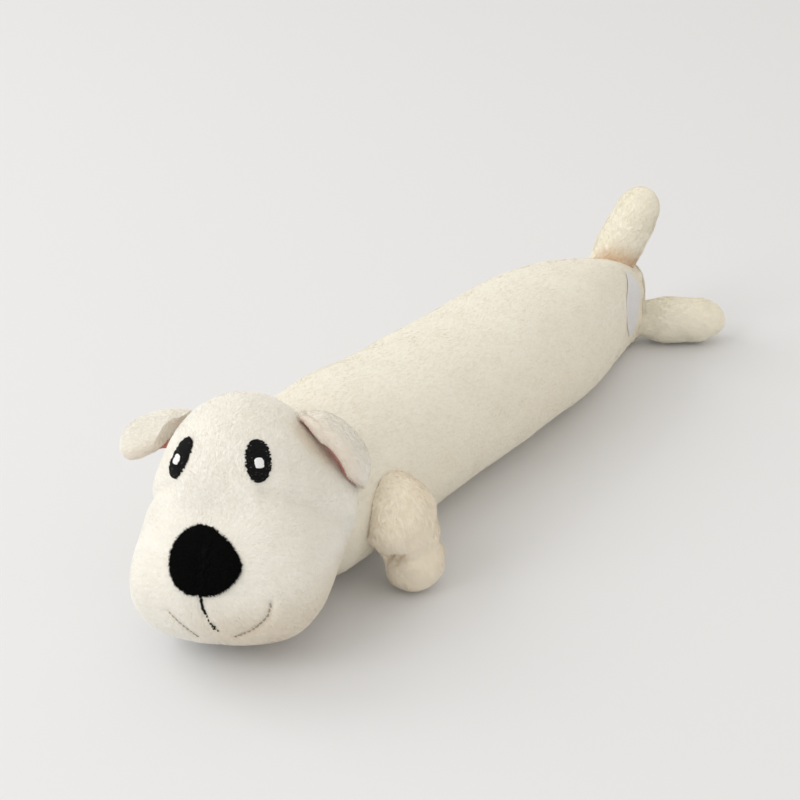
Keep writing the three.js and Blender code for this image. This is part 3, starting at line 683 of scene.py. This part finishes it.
def nose_pad():
    """The nose's patch: an oval, taller below than above its widest line, that tapers upward, with
    its corner and a ragged edge. Only its upper half leans, by a rounded ramp of its height."""
    u, t = grid(96, 40)
    angle = 2 * np.pi * u
    corner = NOSE_CORNER * bell(np.sin((angle - NOSE_CORNER_ANGLE) / 2), 0.14)
    rim = np.stack([np.cos(angle), np.sin(angle), 0 * angle], -1) * 30
    edge = t * (1 + NOSE_RAGGED * lumps(rim, wavelength=5, seed=30) + corner)
    rise = NOSE_HALF_HEIGHT * np.sin(angle) * (1 - 0.06 * np.cos(2 * angle)) * edge
    across = NOSE_HALF_WIDTH * np.cos(angle) * (1 + NOSE_TAPER * np.sin(angle)) * edge
    soft = 4
    ramp = (rise + np.sqrt(rise**2 + soft**2) - soft) / 2
    across = across + NOSE_LEAN * ramp + NOSE_RIGHT
    dome = NOSE_LIFT + NOSE_DOME * np.sqrt(np.clip(1 - t**3.2, 0, 1))
    dome = dome - NOSE_GROOVE * bell(across, 1.1) * (1 - t)
    pad = skin(head_to_frame(patch_point(NOSE_MIDDLE, 0, across, rise, dome)), u, t)
    return turned_out(pad, head_to_frame(HEAD_MIDDLE))


def nose_comb(places):
    """The nose's pile lies outward from its middle."""
    middle = patch_point(NOSE_MIDDLE, 0, 0.0, 2.0, 0.0)
    return unit(places - head_to_frame(middle))


# Black plush is nearly even, with a fine grain in its tone, its roughness and its bump.
black_plush = Finish("black_plush", {"Specular IOR Level": 0.08})
grain = black_plush.noise(scale=1400.0)
black_plush.feed("Base Color", black_plush.between(grain, (0.0008, 0.0008, 0.0008), (0.005, 0.005, 0.005)))
black_plush.feed("Roughness", grain * 0.2 + 0.85)
black_plush.bump(grain, 0.0003)
pad = nose_pad()
cloth = [lined(pad, 0.25)]
tufts = pile(pad, nose_comb, count=7000, length=3.2, width=0.8, rise=0.3, seed=31)
nose = piece("plush_nose", cloth, [tufts], black_plush.material, "head", ["nose_patch"])

# Eyes and glints: embroidered in satin stitches, thread beside thread, the eyes in black and the
# glints in white over them.
EYE_OUT, EYE_DEPTH, EYE_UP, EYE_THICKNESS, STITCH_BACKING = 20.6, -21.05, 43.6, 1.0, 0.3
EYE = {"half": (5.2, 8.7), "threads": 34, "slant": 0.12, "shift": 0, "power": 2.2}
EYE |= {"base": GAP, "thick": EYE_THICKNESS}
GLINT = {"half": (1.85, 2.1), "threads": 9, "slant": 0.0, "shift": -1.3, "power": 3.2}
GLINT |= {"base": GAP + EYE_THICKNESS, "thick": 0.7}


def embroidery(side, cant, seed, half, threads, slant, shift, power, base, thick):
    """Satin stitches: a superellipse of the given power, moved up by shift. Each row of its grid is
    part of one slanting thread, whose ends are drawn a little long or short."""
    draw = np.random.default_rng(seed)
    per_thread, shortest, longest = 4, -0.06, 0.13
    rows = np.arange(threads * per_thread + 1)[:, None]
    t = rows / rows[-1] * 2 - 1
    thread = np.minimum(rows // per_thread, threads - 1)
    across = np.linspace(-1, 1, 25)
    width = (1 - np.abs(t) ** power).clip(0, 1) ** (1 / power)
    left = width + draw.uniform(shortest, longest, threads)[thread]
    right = width + draw.uniform(shortest, longest, threads)[thread]
    reach = np.where(across < 0, left, right) * across * half[0]
    up = t * half[1] + reach * (slant * side) + shift
    ridge = np.abs(np.sin(np.pi * rows / per_thread))
    lift = base + thick * (0.55 + 0.3 * ridge - 0.45 * across**4)
    lift = lift + draw.uniform(-0.06, 0.06, threads)[thread]
    middle = (side * EYE_OUT, EYE_DEPTH, EYE_UP)
    patch = head_to_frame(patch_point(middle, cant, reach, up, lift))
    return turned_out(skin(patch, across, t), head_to_frame(HEAD_MIDDLE))


def thread_finish(name, colours, roughness):
    """Embroidery thread: two close shades from stitch to stitch, with a fine twist, and small
    flecks where a thread catches the light."""
    low, high, fleck = colours
    finish = Finish(name, {"Roughness": roughness, "Specular IOR Level": 0.2})
    twist = finish.noise(scale=2600.0)
    flecks = finish.noise(scale=1500.0, detail=1.0)
    tone = finish.between(twist * 1.6 - 0.3, low, high)
    finish.feed("Base Color", finish.between(flecks * 14.0 - 9.6, tone, fleck))
    finish.bump(twist, 0.00012)
    return finish.material


BLACKS = (0.001, 0.001, 0.001), (0.008, 0.008, 0.009), (0.3, 0.3, 0.28)
WHITES = (0.84, 0.85, 0.88), (0.97, 0.97, 0.98), (0.75, 0.75, 0.78)
black_thread = thread_finish("black_thread", BLACKS, roughness=0.7)
white_thread = thread_finish("white_thread", WHITES, roughness=0.5)
STITCHED = (
    ("eye_", EYE, black_thread, "black_stitching", 40),
    ("glint_", GLINT, white_thread, "white_stitching", 50),
)
for side, name, cant in ((1, "left", 15), (-1, "right", 0)):
    for node, patch, thread, slot, seed in STITCHED:
        cloth = [lined(embroidery(side, cant, seed + side, **patch), STITCH_BACKING)]
        piece("stitched_" + node + name, cloth, [], thread, "head", [node + name])

# Mouth: a thick black thread from the nose down the lip, running out in a few thin stitches, and
# the grey thread of the smile, half sunk in its line. They are sewn through the plush of the head.


def read_along(chain, values, share):
    """Values given at the points of a chain, at shares of its length."""
    steps = np.concatenate([[0], np.cumsum(norm(np.diff(chain, axis=0)))])
    return np.stack([np.interp(share * steps[-1], steps, values[:, k]) for k in range(3)], -1)


def stitches(line, count, thick, filled, lift, seed):
    """A row of stitches along a chain of directions on the head: each is a round tube, pointed at
    both ends by the root of 1 - |2t - 1|^4, and bowed up off the plush. thick falls along the row."""
    stray = 0.004
    draw = np.random.default_rng(seed)
    chain = unit(line)
    angle, t = grid(8, 12)
    turn = 2 * np.pi * angle[..., None]
    made = []
    for i in range(count):
        share = (i + (1 - filled) / 2 + filled * t) / count
        d = unit(read_along(chain, chain, share))
        sway = draw.normal(scale=stray, size=3)
        d = unit(d + sway * (2 * t - 1)[..., None])
        radius = thick[0] + (thick[1] - thick[0]) * share
        middle = head_skin(d, lift * np.sin(np.pi * t))
        ahead = unit(np.gradient(middle, axis=0))
        side = unit(np.cross(d, ahead))
        tube = radius * np.sqrt(np.clip(1 - np.abs(2 * t - 1) ** 4, 0, 1))
        ring = side * np.cos(turn) + d * np.sin(turn)
        points = head_to_frame(middle + ring * tube[..., None])
        points[0] = points[0].mean(0)
        points[-1] = points[-1].mean(0)
        made.append(turned_out(skin(points, angle, t)))
    return made


GREYS = (0.3, 0.29, 0.26), (0.45, 0.43, 0.38), (0.6, 0.58, 0.5)
grey_thread = thread_finish("grey_thread", GREYS, roughness=0.9)
KNOT_LINE = ((0.06, -0.93, -0.375), (0.08, -0.915, -0.39), (0.075, -0.905, -0.415), (0.05, -0.905, -0.42))
lip = stitches(LIP_LINE, count=5, thick=(0.75, 0.4), filled=1.25, lift=0.6, seed=61)
lip += stitches(CHIN_LINE, count=6, thick=(0.32, 0.22), filled=0.6, lift=0.6, seed=62)
lip += stitches(KNOT_LINE, count=3, thick=(0.3, 0.3), filled=1.1, lift=0.9, seed=63)
piece("stitched_lip", lip, [], black_thread, "head")
smile = stitches(LEFT_SMILE, count=11, thick=(0.24, 0.34), filled=0.8, lift=0.55, seed=64)
smile += stitches(RIGHT_SMILE, count=9, thick=(0.2, 0.2), filled=0.8, lift=0.5, seed=65)
piece("stitched_smile", smile, [], grey_thread, "head")

# Ears: a flat bag of plush on each side of the crown, lined in pink and curling down beside the
# head. Each is sewn into the head along its root, and its thick edge rolls over the pink.
# Angles are in degrees, and the peek says how far the pink runs out past the plush near the root.
EAR_HALF_WIDTH, EAR_CUP, EAR_ROOT_OUT, EAR_ROOT_BACK = 10.4, 1.5, 20.4, 16.6
LINING_THICKNESS, LINING_WIDTH = 1.2, 0.8
EAR_THICKNESS, EAR_PUFF, EAR_GAP = 2.4, 5.6, 0.15
LEFT_EAR = {"side": 1, "rise": 36.2, "fall": 8, "sweep": 6, "cant": 10.6}
LEFT_EAR |= {"curl": 96, "wide": 0.88, "length": 44, "peek": -0.2}
RIGHT_EAR = {"side": -1, "rise": 29, "fall": 4, "sweep": -7, "cant": 50}
RIGHT_EAR |= {"curl": 32, "wide": 0.85, "length": 33.5, "peek": 0.56}


def ear_point(ear, across, v, depth):
    """A leaf: across it from its front edge, -1, to its back edge, 1, and from root to tip with v.
    Its middle line is an arc, its half width a polynomial of v closed by the root of 1 - v^6, and
    its edges bend down by a square law. It is canted about its middle line and swept backward."""
    side, fall, cant = ear["side"], math.radians(ear["fall"]), math.radians(ear["cant"])
    root_out = unit((side * EAR_ROOT_OUT, EAR_ROOT_BACK, ear["rise"]))
    root = root_out * (head_radius(root_out[None])[0] - EAR_THICKNESS) + HEAD_MIDDLE
    curl = math.radians(ear["curl"])
    angle = fall + curl * v
    leaf = (0.7 + 0.91 * v - 0.51 * v**2) * np.sqrt(1 - np.clip(v, 0, 1) ** 6)
    out = ear["length"] * (np.sin(angle) - np.sin(fall)) / curl
    down = ear["length"] * (np.cos(fall) - np.cos(angle)) / curl
    lift = depth - EAR_CUP * across**2
    wide = across * EAR_HALF_WIDTH * ear["wide"] * leaf
    rise = wide * np.sin(cant) + lift * np.cos(cant)
    x = root[0] + side * (out + rise * np.sin(angle))
    y = root[1] + wide * np.cos(cant) - lift * np.sin(cant) + ear["sweep"] * v
    return np.stack([x, y, root[2] - down + rise * np.cos(angle)], -1)


def clear_of_head(points, margin):
    """Pushes points that would sink into the head out to a margin above its skin."""
    local = points - HEAD_MIDDLE
    reach = norm(local)
    d = local / reach[..., None]
    need = head_radius(d) + head_relief(d) + margin
    return d * np.maximum(reach, need)[..., None] + HEAD_MIDDLE


def ear_bag(ear, low, thick, width, peek, seed):
    """A closed flat bag in the leaf's form: round its section with u, which is a superellipse, and
    from root to tip with v. It thins to both ends, and its front edge is rolled thicker. Near the
    root that edge runs out by the share peek, or is notched where peek is below 0."""
    margin, full_from, peek_at = 0.25, 0.25, 0.23
    u, t = grid(72, 72)
    v = np.sin(np.pi * t / 2)
    turn = 2 * np.pi * u
    across = signed_power(np.cos(turn), 0.7) * (1 + peek * bell(v - peek_at, 0.15) * (np.cos(turn) < 0))
    rise = signed_power(np.sin(turn), 0.7)
    front = bell(across + 1, 0.7)
    full = thick * np.sqrt(1 - v**8) * (0.35 + 0.65 * smooth(v / full_from)) * (1 + 0.35 * front)
    depth = low + full * (1 + rise) / 2
    points = ear_point(ear, across * width, v, depth)
    soft = 0.35 * lumps(points, wavelength=15, seed=seed) * (1 + rise) / 2
    points = clear_of_head(points, margin + low + (full - 0.4) * (1 + rise) / 2 + soft)
    points[0] = points[0].mean(0)
    points[-1] = points[-1].mean(0)
    # Painted shade along the rolled front edge and at the root, where the ear meets the head.
    painted_shade = 0.16 * bell(across + 1, 0.5) + 0.1 * bell(v, 0.2)
    return turned_out(skin(head_to_frame(points), u, v, painted_shade))


# The third colour of each plush below is the colour of its painted shade.
LIMB_CREAMS = (0.98, 0.925, 0.785), (1.0, 0.975, 0.885), (0.72, 0.46, 0.24)
limb_plush = plush_finish("limb_plush", *LIMB_CREAMS, (50, 22), 0.0006)
ear_plush = plush_finish("ear_plush", *HEAD_PALE, (0.8, 0.52, 0.36), (60, 26), 0.0006)
PINKS = (0.62, 0.2, 0.17), (0.82, 0.38, 0.33), (0.5, 0.1, 0.08)
pink_plush = plush_finish("pink_plush", *PINKS, (60, 26), 0.0005)
for ear, name in ((LEFT_EAR, "left"), (RIGHT_EAR, "right")):
    outer = ear_bag(ear, LINING_THICKNESS + EAR_GAP, EAR_PUFF, width=1.0, peek=-0.8 * ear["peek"], seed=66)
    lining = ear_bag(ear, 0.0, LINING_THICKNESS, LINING_WIDTH, ear["peek"], seed=67)
    to_the_tip = one_way(np.array((ear["side"], 0.1, -0.8)) @ HEAD_MATRIX.T)
    tufts = pile(outer, to_the_tip, count=6500, length=2.2, width=0.36, rise=0.2, seed=60 + ear["side"])
    on, node = "ear_" + name, "ear_lining_" + name
    made = piece("plush_ear_" + name, [outer], [tufts], ear_plush, on, ["ear_" + name])
    pink = piece("pink_ear_lining_" + name, [lining], [], pink_plush, on, [node])

# Legs: stuffed socks of a warmer, longer plush. The front legs bend down to the floor beside the
# chest. The left hind leg lies out behind the rear seam, and the right one stands on the back.
LIMB_LUMP, LIMB_DIMPLE, ROOT_SUNK, ROOT_ROWS = 0.45, 0.3, 0.6, 8


def body_depth(points):
    """Below 0 inside the body: the superellipse of the section at a point's place, less 1, times
    the section's half height. The neck's cap and the rear dome close it."""
    s = np.clip((points[..., 1] - NECK_Y) / BODY_LENGTH, 0, 1)
    power = 2 / section_bend(s)
    wide, high = body_half_width(s), body_half_height(s)
    before = np.maximum(NECK_Y - points[..., 1], 0) / CHEST_RADIUS
    behind = np.maximum(points[..., 1] - REAR_Y, 0) / REAR_DOME_DEPTH
    round_ = np.abs(points[..., 0] / wide) ** power
    round_ = round_ + np.abs((points[..., 2] - section_middle(s)) / high) ** power
    return (np.sqrt(round_ ** (2 / power) + before**2 + behind**2) - 1) * np.minimum(wide, high)


def catmull(knots):
    """A centripetal Catmull-Rom curve: cubic pieces whose speed at a knot follows the roots of the
    distances to its neighbours, with each end carried on by its own first step."""
    points = np.concatenate([[2 * knots[0] - knots[1]], knots, [2 * knots[-1] - knots[-2]]])
    steps = 60
    pieces = []
    for i in range(1, len(points) - 2):
        p0, p1, p2, p3 = points[i - 1 : i + 3]
        t01, t12, t23 = (np.linalg.norm(b - a) ** 0.5 for a, b in ((p0, p1), (p1, p2), (p2, p3)))
        m1 = t12 * ((p1 - p0) / t01 - (p2 - p0) / (t01 + t12) + (p2 - p1) / t12)
        m2 = t12 * ((p2 - p1) / t12 - (p3 - p1) / (t12 + t23) + (p3 - p2) / t23)
        w = np.linspace(0, 1, steps, endpoint=False)[:, None]
        a, b = 2 * p1 - 2 * p2 + m1 + m2, -3 * p1 + 3 * p2 - 2 * m1 - m2
        pieces.append(((a * w + b) * w + m1) * w + p1)
    return np.concatenate([*pieces, [knots[-1]]])


def limb_skin(knots, radii, across, relief, seed):
    """Round sections along a smooth curve through the knots, closing in at both ends by the root of
    1 - |2t - 1|^4.5, with soft lumps and the limb's own relief(u, t), where u goes round it."""
    dense = catmull(np.array(knots, float))
    u, v = grid(72, 110)
    t = (1 - np.cos(np.pi * v)) / 2
    middle = read_along(dense, dense, t)
    ahead = unit(read_along(dense, np.gradient(dense, axis=0), t))
    right = unit(np.cross(across, ahead))
    up = np.cross(ahead, right)
    place = t * (len(radii) - 1)
    first = np.minimum(place.astype(int), len(radii) - 2)
    radii = np.array(radii, float)
    radius = radii[first] + (radii[first + 1] - radii[first]) * smooth(place - first)
    radius = radius * np.sqrt(np.clip(1 - np.abs(2 * t - 1) ** 4.5, 0, 1))
    angle = 2 * np.pi * u[..., None]
    round_way = right * np.cos(angle) + up * np.sin(angle)
    points = middle + round_way * radius[..., None]
    soft = LIMB_LUMP * lumps(points, wavelength=24, seed=seed)
    soft = soft + LIMB_DIMPLE * lumps(points, wavelength=10, seed=seed + 1) + relief(u, t)
    return points + round_way * (soft * np.minimum(radius / 8, 1))[..., None], u, t


def leg(name, knots, radii, across, relief, painted_shade, seed):
    """A leg's sock: its skin from where it leaves the body to its tip, with its pile. Each line of
    points along the leg is drawn again so that it starts just under the body's skin, and the sock is
    sewn shut across its root."""
    points, u, t = limb_skin(knots, radii, across, relief, seed)
    last = points.shape[0] - 1
    first = np.argmax(body_depth(points) > -ROOT_SUNK, axis=0)
    index = first + (last - first) * np.arange(last + 1)[:, None] / last
    low = np.floor(index).astype(int).clip(0, last - 1)
    share = (index - low)[..., None]
    columns = np.arange(points.shape[1])
    points = points[low, columns] * (1 - share) + points[low + 1, columns] * share
    t = t[low, columns] * (1 - share[..., 0]) + t[low + 1, columns] * share[..., 0]
    along = t - t[:1]
    closing = np.linspace(1, 0, ROOT_ROWS + 1)[:-1, None, None]
    end = points[0].mean(0) * closing + points[:1] * (1 - closing)
    points = np.concatenate([end, points])
    u, t, along = (np.concatenate([np.repeat(k[:1], len(end), 0), k]) for k in (u, t, along))
    cover = turned_out(skin(points, u, t, painted_shade(u, t, along)))
    to_the_tip = one_way(unit(np.subtract(knots[-1], knots[0])) + (0, 0, -0.2))
    tufts = pile(cover, to_the_tip, count=14000, length=2.7, width=0.4, rise=0.22, seed=seed + 5)
    cloth = [lined(cover, PLUSH_WALL)]
    made = piece("plush_" + name, cloth, [tufts], limb_plush, name, [name])


FRONT_REACH, FRONT_RADIUS, WRIST_RADIUS, PAW_RADIUS, SET_BACK = 13.5, 15, 13.2, 13.8, 20
FLOOR_CLEARANCE, SHOULDER_UP, CREASE_AT, WRIST_AT = 0.5, 1.5, 0.63, 0.66
ELBOW_SWELL, PAW_SWELL, CREASE_DEPTH, WRIST_DEPTH = 7, 1.5, 3.2, 1.4
flank = body_half_width(SET_BACK / BODY_LENGTH)
shoulder = NECK_PIVOT[2] + SHOULDER_UP
for side, name in ((1, "left"), (-1, "right")):
    knots = [(side * (flank - FRONT_RADIUS), NECK_Y + SET_BACK, shoulder)]
    for out, back, up in ((0.35, -0.15, 0.94), (0.6, 0, 0.6), (1, 0.1, 0)):
        height = FLOOR_CLEARANCE + (shoulder - FLOOR_CLEARANCE) * up
        knots.append((side * (flank + FRONT_REACH * out), NECK_Y + SET_BACK + PAW_RADIUS * back, height))
    inner, front = (0.81, 0.77) if side > 0 else (0.69, 0.73)

    def elbow_crease(u, t):
        """1 along two short creases that run down the front of the wrist."""
        run = 0.8 * (t - 0.62)
        lines = bell(u - front - run, 0.018) + 0.7 * bell(u - front + 0.06 - run, 0.018)
        return lines * bell(t - CREASE_AT, 0.06)

    def elbow(u, t):
        """The elbow bulges over the creases, the wrist draws in, and the paw swells below it."""
        swell = ELBOW_SWELL * bell(t - 0.42, 0.17) + PAW_SWELL * bell(t - 0.9, 0.1)
        swell = bell(u - inner, 0.2) * swell
        return swell - CREASE_DEPTH * elbow_crease(u, t) - WRIST_DEPTH * bell(t - WRIST_AT, 0.05)

    def elbow_painted_shade(u, t, along):
        """Painted shade: a little all over the front leg, which lies in shade by the chest, and more in
        the creases.
        """
        return 0.25 * elbow_crease(u, t) + 0.16

    radii = (FRONT_RADIUS, FRONT_RADIUS, WRIST_RADIUS, PAW_RADIUS, PAW_RADIUS)
    leg("front_leg_" + name, knots, radii, (0, 1, 0), elbow, elbow_painted_shade, 70 + side)

HIND_LENGTH, HIND_RADIUS, HIND_TIP, LYING_ROOT_RADIUS = 52, 12.5, 11.2, 7
RAISED_ROOT_RADIUS, RAISED_SET_FORWARD, RAISED_ROOT_DEPTH = 12, 11, 9
SPLAY, RAISED_ANGLE, RAISED_LEAN = math.radians(57), math.radians(68), math.radians(16)


def hind_knots(root, direction, sunk):
    """Knots along a straight leg, from sunk under its root to its tip."""
    shares = np.array((0, 0.4, 0.75, 1))[:, None]
    return root + direction * (shares * (HIND_LENGTH + sunk) - sunk)


def root_folds(u, t):
    """The sock is gathered into short folds where it is sewn on."""
    return 0.5 * np.sin(2 * np.pi * 7 * u) * bell(t - 0.22, 0.1)


def no_painted_shade(u, t, along):
    """No painted shade: the plush is even."""
    return 0 * t


def root_painted_shade(u, t, along):
    """Painted shadow at the root, where the leg meets the body."""
    return 0.65 * bell(along, 0.1)


LYING_ROOT_OUT, LYING_ROOT_BACK, RAISED_ROOT_SHARE = 2.8, 2.6, -0.6
lying_root = (LYING_ROOT_OUT, REAR_Y + LYING_ROOT_BACK, HIND_RADIUS + FLOOR_CLEARANCE)
lying = hind_knots(lying_root, np.array((math.sin(SPLAY), math.cos(SPLAY), 0)), HIND_RADIUS)
knee = (LYING_ROOT_RADIUS + HIND_RADIUS) / 2
radii = (LYING_ROOT_RADIUS, knee, HIND_RADIUS, HIND_RADIUS, HIND_TIP)
leg("hind_leg_left", lying, radii, (1, 0, 0), root_folds, no_painted_shade, 80)
place = 1 - RAISED_SET_FORWARD / BODY_LENGTH
raised_root = (
    RAISED_ROOT_SHARE * body_half_width(place),
    REAR_Y - RAISED_SET_FORWARD,
    2 * body_half_height(place) - RAISED_ROOT_DEPTH,
)
upward = unit((math.sin(RAISED_LEAN), math.cos(RAISED_ANGLE), math.sin(RAISED_ANGLE)))
radii = (RAISED_ROOT_RADIUS, RAISED_ROOT_RADIUS, HIND_RADIUS, HIND_RADIUS, HIND_TIP)
raised = hind_knots(raised_root, upward, RAISED_ROOT_RADIUS)
leg("hind_leg_right", raised, radii, (1, 0, 0), root_folds, root_painted_shade, 90)

# Label: a blank piece of white satin ribbon, laid on the left side and caught in the groove of the
# rear seam. Its corners are tucked, so both its free and its sewn edge are bows.
LABEL_LIFT, LABEL_WAVE, LABEL_THICKNESS = 0.5, 0.4, 0.3


def label_point(u, v, depth):
    """Up the side of the body with u, as high as its foot and height say at the seam and in
    proportion to the body ahead of it, and back to the seam's groove with v, at a depth above the
    plush and its relief. Both edges draw in to its ends by square laws."""
    end = 2 * u - 1
    free = LABEL_WIDTH - end - 6.5 * end**2
    sewn = 13 * end**2 - 0.5 * end
    s = 1 - (LABEL_SET_IN + free + (sewn - free) * v) / BODY_LENGTH
    share = (LABEL_FOOT + LABEL_HEIGHT * u) / body_half_height(SEAM_LINE)
    share = share - FLAT_SHARE ** section_bend(s)
    angle = np.arcsin(np.clip(signed_power(share, 1 / section_bend(s)), -1, 1)) + np.pi / 2
    turn = angle / (2 * np.pi)
    return body_point(turn, s, depth + body_relief(turn, s))


satin = Finish("label_satin", {"Roughness": 0.42, "Sheen Weight": 0.2})
cloth = satin.node("UVMap", {"uv_map": "cloth"}, {})
weave = satin.node("TexWave", {"wave_type": "BANDS"}, {"Vector": cloth, "Scale": 40.0})
satin.feed("Base Color", satin.between(weave, (0.84, 0.84, 0.87), (0.94, 0.94, 0.96)))
satin.bump(weave, 0.00008)
u, v = grid(60, 24)
wave = LABEL_WAVE * bell(v - 0.5, 0.3) + 0.1 * np.sin(9 * u + 2 * v)
ribbon = skin(label_point(u, v, LABEL_LIFT + wave), u, v)
ribbon = turned_out(ribbon, (0, REAR_Y - 7, REAR_HALF_HEIGHT))
cloth = [lined(ribbon, LABEL_THICKNESS)]
label = piece("satin_label", cloth, [], satin.material, "label", ["blank_label"])

# Inside: loose white fibre in each part, and a squeaker of thin plastic in the middle of the body.
fibre = Finish("stuffing_fibre", {"Roughness": 1.0, "Sheen Weight": 0.3})
strands = fibre.noise(scale=420.0, detail=4.0)
fibre.feed("Base Color", fibre.between(strands, (0.8, 0.8, 0.79), (0.95, 0.95, 0.94)))
fibre.bump(strands, 0.002)
plastic = Finish("squeaker_plastic", {"Roughness": 0.35, "Coat Weight": 0.1})
mould = plastic.noise(scale=60.0)
plastic.feed("Base Color", plastic.between(mould, (0.78, 0.8, 0.81), (0.88, 0.9, 0.91)))
plastic.bump(plastic.noise(scale=300.0), 0.0001)
for node_name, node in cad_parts.items():
    inner = fibre if "stuffing" in node_name else plastic if "squeaker" in node_name else None
    if inner:
        node.data.materials.clear()
        node.data.materials.append(inner.material)
